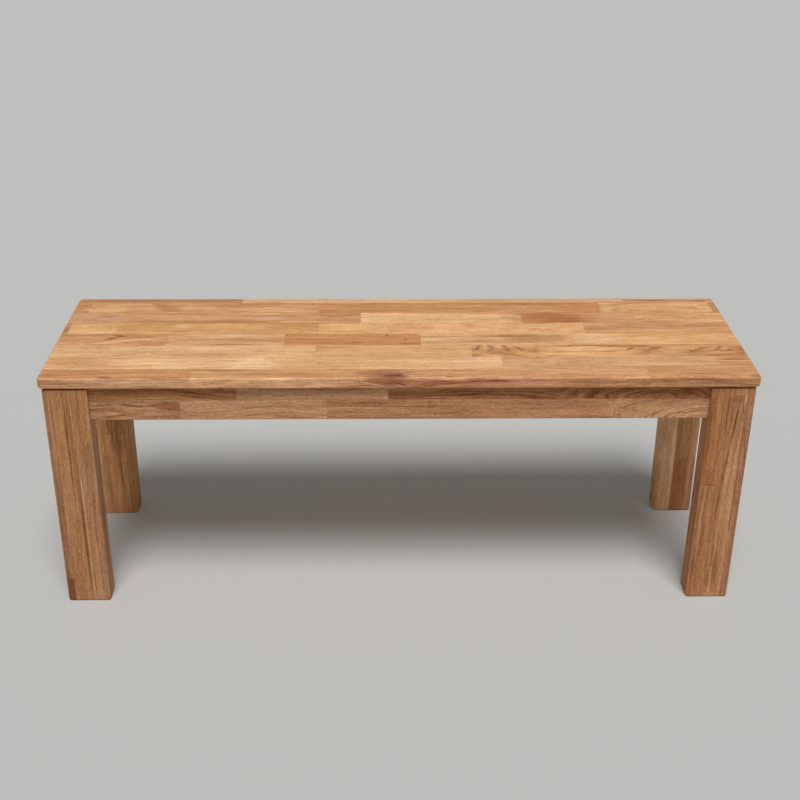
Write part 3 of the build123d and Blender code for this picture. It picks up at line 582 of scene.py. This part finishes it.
def millimetres(g):
    """The place on the object, in millimetres."""
    place = g.vector("SCALE", g.put("ShaderNodeTexCoord", out=3))
    place.node.inputs["Scale"].default_value = 1 / MM
    return place


def glue_lines(g, along, across, staves, edges):
    """1 on the fine glue lines at the stave ends and along the strip's edges."""
    seam = None
    for value, spot in [(along, end) for end, *_ in staves[:-1]] + [(across, edge) for edge in edges]:
        near = g.math("COMPARE", value, spot, GLUE_REACH)
        seam = near if seam is None else g.math("MAXIMUM", seam, near)
    return seam


def strip_material(name, staves, axes, middle, edges, seed, tint, marks=(), front_marks=(), flat=False,
                   dash=DASH, lean=0):
    """Oak for one glued strip: each of its staves has its own tone, figure and piece of the log.

    The axes lie along, across and through the strip, whose middle is given on the last two. Marks on a flat
    strip show on its top only, front marks on its front. The lean turns the grain, in degrees.
    """
    material, g, shader = new_material(name)
    parts = g.split(millimetres(g), lean)
    along, across, deep = (parts[axis] for axis in axes)
    number = None
    for end, *_ in staves[:-1]:
        past = g.math("GREATER_THAN", along, end)
        number = past if number is None else g.math("ADD", number, past)
    count = len(staves)
    index = g.math("MULTIPLY_ADD", number, 1 / count, 0.5 / count) if number else 0.5

    def by_stave(values):
        if count == 1:
            return values[0]
        return g.ramp(index, [(i / count, (*value[:3], 1)) for i, value in enumerate(values)], "CONSTANT")

    normals = g.split(g.put("ShaderNodeNewGeometry", out=1), lean)
    tone = by_stave([linear(tone, tint) for _, tone, *_ in staves])
    lift = calm = bands = None
    if marks:
        facing = g.fade(normals[2], *TOP_FADE) if flat else None
        tone, lift, calm = add_marks(g, along, across, tone, marks, tint, facing)
    if front_marks:
        facing = g.fade(normals[1], *FRONT_FADE)
        tone, _, _ = add_marks(g, along, deep, tone, front_marks, tint, facing)
        bands = g.noise(g.join(g.math("MULTIPLY", along, 1 / BAND_LENGTH), 0.0,
                               g.math("MULTIPLY", deep, 1 / BAND_WIDTH)), detail=1.5)
        bands = g.math("MULTIPLY", g.centred(bands), facing)
    figures = [FIGURES[figure] for _, _, figure, *_ in staves]
    shape = by_stave([(stretch / STRETCH_SPAN, pith_across / PITH_SPAN + 0.5, pith_deep / PITH_SPAN + 0.5)
                      for stretch, pith_across, pith_deep, *_ in figures])
    look = by_stave([(gap / GAP_SPAN, lines, streaks) for *_, gap, lines, streaks, _ in figures])
    centres = [(*stave, 0)[3] for stave in staves]
    extra = by_stave([(figure[-1], centre / BENCH_SPAN + 0.5, 0) for figure, centre in zip(figures, centres)])
    shape = g.vector("MULTIPLY_ADD", shape, (STRETCH_SPAN, PITH_SPAN, PITH_SPAN),
                     (0, middle[0] - PITH_SPAN / 2, middle[1] - PITH_SPAN / 2))
    look = g.vector("MULTIPLY", look, (GAP_SPAN, 1, 1))
    extra = g.vector("MULTIPLY_ADD", extra, (1, BENCH_SPAN, 1), (0, -BENCH_SPAN / 2, 0))

    facings = [g.math("ABSOLUTE", part) for part in normals]
    end_grain = g.fade(facings[axes[0]], *END_FADE)
    # Painted highlight: rounded edges are made lighter; the seat front's random bands are added to it
    squarest = g.math("MAXIMUM", g.math("MAXIMUM", facings[0], facings[1]), facings[2])
    highlight_and_bands = g.fade(squarest, *HIGHLIGHT_EDGE_FADE, 0.0, PAINTED_EDGE_HIGHLIGHT)
    if bands:
        highlight_and_bands = g.math("MULTIPLY_ADD", bands, BAND_STRENGTH, highlight_and_bands)
    group = g.nodes.new("ShaderNodeGroup")
    group.node_tree = OAK
    place = g.join(along, across, deep)
    piece = g.math("MULTIPLY_ADD", number, STAVE_STEP, seed) if number else seed
    for socket, value in (("Place", place), ("Tone", tone), ("Shape", shape), ("Look", look),
                          ("Extra", extra), ("End", end_grain), ("Lift", lift or 0.0), ("Highlight_and_bands", highlight_and_bands),
                          ("Dash", dash), ("Calm", calm or 0.0), ("Seed", piece)):
        if isinstance(value, bpy.types.NodeSocket):
            g.links.new(value, group.inputs[socket])
        else:
            group.inputs[socket].default_value = value

    colour = group.outputs["Color"]
    seam = glue_lines(g, along, across, staves, edges)
    if seam:
        colour = g.blend(seam, colour, g.vector("MULTIPLY", colour, GLUE_SHADE))
    g.links.new(colour, shader.inputs["Base Color"])
    g.links.new(group.outputs["Roughness"], shader.inputs["Roughness"])
    shader.inputs["Specular IOR Level"].default_value = OAK_GLOSS
    bump = g.put("ShaderNodeBump", {"Strength": BUMP_STRENGTH, "Distance": BUMP_DEPTH,
                                    "Height": group.outputs["Height"]})
    g.links.new(bump, shader.inputs["Normal"])
    return material


def seed_of(rule, number):
    """The seed of one strip, from the step and the start for its kind."""
    step, start = rule
    return step * number + start


def dress(name, material):
    """Gives a CAD node its material."""
    for slot in node_objects[name].material_slots:
        slot.material = material


def dress_seat():
    """Seat strips: marks on the top, and on the front strip also along its edge."""
    for number, staves in enumerate(SEAT, start=1):
        back, front = SEAT_LINES[number - 1:number + 1]
        edges = [line for line in (back, front) if abs(line) < SEAT_EDGE_Y]
        middle = ((back + front) / 2, SEAT_MIDDLE_Z)
        material = strip_material(f"seat oak {number}", staves, (0, 1, 2), middle, edges,
                                  seed_of(SEAT_SEED, number), SEAT_TINT, SEAT_MARKS[number - 1],
                                  EDGE_MARKS if number == len(SEAT) else (), flat=True, dash=SEAT_DASH)
        dress(f"seat_strip_{number}", material)


def dress_aprons():
    """Apron strips, which run along X at the front and back and along Y at the ends."""
    for number, (name, staves) in enumerate(APRONS.items(), start=1):
        low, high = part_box(name)
        axes = (1, 2, 0) if "left" in name or "right" in name else (0, 2, 1)
        middle = [(low[axis] + high[axis]) / 2 / MM for axis in axes[1:]]
        # The frame's tint paints shade into the aprons' oak
        material = strip_material(name.replace("_", " "), staves, axes, middle, [APRON_GLUE_Z],
                                  seed_of(APRON_SEED, number), FRAME_SHADE_TINT, APRON_MARKS.get(name, ()))
        dress(name, material)


def dress_legs():
    """Leg strips, which run up, with glue lines where another strip of the leg is beside them."""
    for number, (name, staves) in enumerate(LEGS.items(), start=1):
        low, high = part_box(name)
        middle = [(low[axis] + high[axis]) / 2 / MM for axis in (0, 1)]
        sides = (low[0] / MM, high[0] / MM)
        edges = [side for side in sides if LEG_INNER_X + SLACK < abs(side) < LEG_OUTER_X - SLACK]
        # The frame's tint paints shade into the legs' oak
        material = strip_material(name.replace("_", " "), staves, (2, 0, 1), middle, edges,
                                  seed_of(LEG_SEED, number), FRAME_SHADE_TINT, LEG_MARKS.get(name, ()),
                                  dash=DASH if "front" in name else FAINT_DASH)
        dress(name, material)


def dress_blocks():
    """Beech corner blocks, whose grain runs from apron to apron."""
    leans = {"front_left": -45, "front_right": 45, "back_left": 45, "back_right": -45}
    for number, (corner, lean) in enumerate(leans.items()):
        material = strip_material(f"beech block {number}", [(600, "beech", "rays")], (0, 1, 2),
                                  BLOCK_PITH, (), seed_of(BLOCK_SEED, number), SEAT_TINT, dash=FAINT_DASH,
                                  lean=lean)
        dress(f"corner_block_{corner}", material)


def steel_material():
    """Bright zinc plate with faint clouding."""
    material, g, shader = new_material("zinc plate")
    cloud = g.noise(millimetres(g), ZINC_DETAIL)
    g.links.new(g.fade(cloud, *ZINC_FADE, *ZINC_ROUGHNESS), shader.inputs["Roughness"])
    g.links.new(g.blend(cloud, *ZINC_COLOURS), shader.inputs["Base Color"])
    shader.inputs["Metallic"].default_value = 1.0
    return material


def dress_steel():
    """Gives every steel node its material, and hands it on for the pieces that replace some of them."""
    steel = steel_material()
    for name in ("hanger_bolts", "bolt_washers", "bolt_nuts", "block_screws", "seat_brackets",
                 "bracket_screws"):
        dress(name, steel)
    return steel


def skin(rings, hollow=False):
    """A closed mesh through rings with equal numbers of points: a tube wall, or capped at both ends."""
    count = len(rings[0])
    points = [point for ring in rings for point in ring]
    faces = []
    for row in range(len(rings) if hollow else len(rings) - 1):
        low, high = row * count, (row + 1) % len(rings) * count
        faces += [(low + i, low + (i + 1) % count, high + (i + 1) % count, high + i) for i in range(count)]
    if not hollow:
        faces += [tuple(reversed(range(count))), tuple(range(len(points) - count, len(points)))]
    return points, faces


def turned(profile, steps):
    """Rings for a form turned round Z, from pairs of radius and height."""
    angles = [math.tau * i / steps for i in range(steps)]
    return [[(radius * math.cos(a), radius * math.sin(a), z) for a in angles] for radius, z in profile]


def threaded_bolt():
    """A hanger bolt: a plain shank in the wood, and a rolled thread where the nut and the bolt's end show."""
    steps, rows_per_turn, tip = 20, 6, 1.0
    rings = turned([(0.05, BOLT_POINT), (BOLT_RADIUS, BOLT_SHOULDER), (BOLT_RADIUS, BOLT_THREAD)], steps)
    rows = round((BOLT_END - BOLT_THREAD) / BOLT_PITCH * rows_per_turn)
    for row in range(1, rows):
        z = BOLT_THREAD + (BOLT_END - BOLT_THREAD) * row / rows
        most = min(BOLT_RADIUS, BOLT_RADIUS - tip + (BOLT_END - z))
        ring = []
        for i in range(steps):
            angle = math.tau * i / steps
            turn = (z / BOLT_PITCH - i / steps) % 1
            ridge = min(1, max(0, 1.4 - abs(turn - 0.5) * 3.2))
            radius = min(most, BOLT_ROOT + (BOLT_RADIUS - BOLT_ROOT) * ridge)
            ring.append((radius * math.cos(angle), radius * math.sin(angle), z))
        rings.append(ring)
    return skin(rings + turned([(BOLT_RADIUS - tip, BOLT_END)], steps))


def hexagon_nut():
    """A nut whose corners are turned off to a cone on both faces, with a countersunk bore."""
    steps, bore, sink = 48, BOLT_RADIUS + 0.1, 0.5
    flat_circle = NUT_FLATS / 2 * 0.96
    outer = []
    for i in range(steps):
        angle = math.tau * i / steps
        outer.append(NUT_FLATS / 2 / math.cos((angle % (math.tau / 6)) - math.tau / 12))
    drop = [(radius - flat_circle) * math.tan(math.radians(30)) for radius in outer]

    def ring(radii, heights):
        return [(r * math.cos(math.tau * i / steps), r * math.sin(math.tau * i / steps), z)
                for i, (r, z) in enumerate(zip(radii, heights))]

    def even(radius, height):
        return ring([radius] * steps, [height] * steps)

    return skin([even(flat_circle, NUT_FOOT), ring(outer, [NUT_FOOT + d for d in drop]),
                 ring(outer, [NUT_TOP - d for d in drop]), even(flat_circle, NUT_TOP),
                 even(bore + sink, NUT_TOP), even(bore, NUT_TOP - sink), even(bore, NUT_FOOT + sink),
                 even(bore + sink, NUT_FOOT)], hollow=True)


def cut(body, cutters):
    """Takes each cutter out of the body, and gives the mesh that is left."""
    def stand(points, faces):
        mesh = bpy.data.meshes.new("blank")
        mesh.from_pydata(points, [], faces)
        thing = bpy.data.objects.new("blank", mesh)
        bpy.context.collection.objects.link(thing)
        return thing

    whole = stand(*body)
    tools = [stand(*cutter) for cutter in cutters]
    for tool in tools:
        modifier = whole.modifiers.new("cut", "BOOLEAN")
        modifier.object = tool
        modifier.operation = "DIFFERENCE"
        modifier.solver = "EXACT"
    mesh = bpy.data.meshes.new_from_object(whole.evaluated_get(bpy.context.evaluated_depsgraph_get()))
    result = [tuple(v.co) for v in mesh.vertices], [tuple(p.vertices) for p in mesh.polygons]
    for thing in (whole, *tools):
        bpy.data.objects.remove(thing)
    return result


def pan_head_screw(diameter, length, head_diameter, head_height):
    """A pan head wood screw with a cross recess, its head above zero and its shank below."""
    radius, head = diameter / 2, head_diameter / 2
    # The head's outline, as shares of its radius and height
    shares = ((1.0, 0.12), (1.0, 0.5), (0.97, 0.68), (0.90, 0.83), (0.78, 0.93), (0.55, 0.99), (0.02, 1.0))
    profile = [(0.05, -length), (radius * 0.8, diameter * 0.8 - length), (radius, -radius), (radius, 0),
               (head, 0)]
    body = skin(turned(profile + [(head * r, head_height * z) for r, z in shares], 32))
    # The recess: two crossed wedges, each wider and longer at the top than at its floor
    reach, depth, top = head * 0.52, head_height * 0.62, head_height + 0.3
    cutters = []
    for along in (True, False):
        corners = []
        for z, length_share, width in ((top, 1.0, 0.55), (head_height - depth, 0.35, 0.38)):
            for u, v in ((-1, -1), (1, -1), (1, 1), (-1, 1)):
                x, y = u * reach * length_share, v * width
                corners.append((x, y, z) if along else (y, x, z))
        faces = [(0, 1, 2, 3), (7, 6, 5, 4), (0, 4, 5, 1), (1, 5, 6, 2), (2, 6, 7, 3), (3, 7, 4, 0)]
        cutters.append((corners, faces if along else [face[::-1] for face in faces]))
    return cut(body, cutters)


def set_fixings(name, form, places, steel):
    """One piece for all fixings of a CAD node: the form at each place, turned from Z to the axis there."""
    points, faces = form
    all_points, all_faces = [], []
    for place, axis in places:
        turn = Vector(axis).to_track_quat("Z", "Y")
        start = len(all_points)
        all_points += [(turn @ Vector(point) + Vector(place)) * MM for point in points]
        all_faces += [tuple(start + corner for corner in face) for face in faces]
    mesh = bpy.data.meshes.new(name)
    mesh.from_pydata(all_points, [], all_faces)
    mesh.polygons.foreach_set("use_smooth", [True] * len(all_faces))
    mesh.set_sharp_from_angle(angle=math.radians(SHARP_TURN))
    mesh.materials.append(steel)
    piece = bpy.data.objects.new(f"{name}_detail", mesh)
    bpy.context.collection.objects.link(piece)
    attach(piece, "root")
    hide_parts(name)


def bracket_screw_places():
    """Both screws of each bracket: one flat through the apron arm, one up through the seat arm."""
    places = []
    for foot, inward in BRACKETS:
        side = Vector((*inward, 0))
        corner = Vector((*foot, BRACKET_TOP))
        places.append((corner + side * BRACKET_SHEET - Vector((0, 0, BRACKET_HOLE)), side))
        places.append((corner + side * BRACKET_HOLE - Vector((0, 0, BRACKET_SHEET)), Vector((0, 0, -1))))
    return places


def build_fixings(steel):
    """Bolts, nuts and screws in their fine form, in place of the plain ones."""
    corners = [(x, y) for x in (-1, 1) for y in (-1, 1)]
    bolts = [((x * BOLT_PLACE[0], y * BOLT_PLACE[1], z), (-x, -y, 0))
             for x, y in corners for z in BOLT_HEIGHTS]
    set_fixings("hanger_bolts", threaded_bolt(), bolts, steel)
    set_fixings("bolt_nuts", hexagon_nut(), bolts, steel)
    seat_x, seat_y = APRON_INNER_X - BLOCK_SCREW_SEAT, APRON_INNER_Y - BLOCK_SCREW_SEAT
    screws = [((x * BLOCK_SCREW_X, y * seat_y, z), (0, -y, 0))
              for x, y in corners for z in BLOCK_SCREW_HEIGHTS]
    screws += [((x * seat_x, y * BLOCK_SCREW_Y, z), (-x, 0, 0))
               for x, y in corners for z in BLOCK_SCREW_HEIGHTS]
    set_fixings("block_screws", pan_head_screw(*BLOCK_SCREW), screws, steel)
    set_fixings("bracket_screws", pan_head_screw(*BRACKET_SCREW), bracket_screw_places(), steel)


def place_camera():
    """The photograph's camera: where it stands, how it is turned, and its focal length in pixels."""
    place = Vector((-44.5846, -2039.7488, 1337.9188)) * MM
    yaw, pitch, roll = 0.0229486, 0.4641712, -0.0072463
    focal = 1252.817
    forward = Vector((math.sin(yaw) * math.cos(pitch), math.cos(yaw) * math.cos(pitch), -math.sin(pitch)))
    right = Vector((math.cos(yaw), -math.sin(yaw), 0))
    down = forward.cross(right)
    turned_right = math.cos(roll) * right + math.sin(roll) * down
    turned_down = math.cos(roll) * down - math.sin(roll) * right
    turn = Matrix((turned_right, -turned_down, -forward)).transposed()
    data = bpy.data.cameras.new("camera")
    data.sensor_width = 36
    data.lens = focal / PICTURE_WIDTH * data.sensor_width
    camera = bpy.data.objects.new("camera", data)
    camera.matrix_world = Matrix.Translation(place) @ turn.to_4x4()
    bpy.context.collection.objects.link(camera)
    bpy.context.scene.camera = camera


def seen_rays(g):
    """1 on the rays that show the background: the camera's, and those that gloss and glass send on."""
    paths = g.nodes.new("ShaderNodeLightPath").outputs
    seen = g.math("MAXIMUM", paths["Is Camera Ray"], paths["Is Glossy Ray"])
    return g.math("MAXIMUM", seen, paths["Is Transmission Ray"])


def light_room():
    """A soft light from above and in front, and faint pale light from all round."""
    data = bpy.data.lights.new("soft light", "SUN")
    data.energy = SUN_STRENGTH
    data.angle = math.radians(SUN_WIDTH)
    lamp = bpy.data.objects.new("soft light", data)
    lamp.rotation_euler = (*map(math.radians, SUN_TILTS), 0)
    bpy.context.collection.objects.link(lamp)
    world = bpy.data.worlds.new("room")
    bpy.context.scene.world = world
    world.use_nodes = True
    g = Graph(world.node_tree)
    background = g.nodes["Background"]
    background.inputs["Color"].default_value = ROOM_COLOUR
    g.links.new(g.math("MULTIPLY_ADD", seen_rays(g), ROOM_SEEN, ROOM_LIGHT), background.inputs["Strength"])


def lay_floor():
    """A plain pale floor."""
    mesh = bpy.data.meshes.new("floor")
    corners = [(x * FLOOR_REACH, y * FLOOR_REACH, -FLOOR_DROP)
               for x, y in ((-1, -1), (1, -1), (1, 1), (-1, 1))]
    mesh.from_pydata(corners, [], [(0, 1, 2, 3)])
    floor = bpy.data.objects.new("floor", mesh)
    bpy.context.collection.objects.link(floor)
    material, g, shader = new_material("pale floor")
    shader.inputs["Roughness"].default_value = FLOOR_ROUGHNESS
    shader.inputs["Emission Color"].default_value = (1, 1, 1, 1)
    seen = seen_rays(g)
    g.links.new(g.blend(seen, FLOOR_COLOUR, FLOOR_SEEN), shader.inputs["Base Color"])
    g.links.new(g.math("MULTIPLY", seen, FLOOR_GLOW), shader.inputs["Emission Strength"])
    mesh.materials.append(material)


dress_seat()
dress_aprons()
dress_legs()
dress_blocks()
build_fixings(dress_steel())
place_camera()
light_room()
lay_floor()
bpy.context.scene.view_settings.view_transform = "Standard"
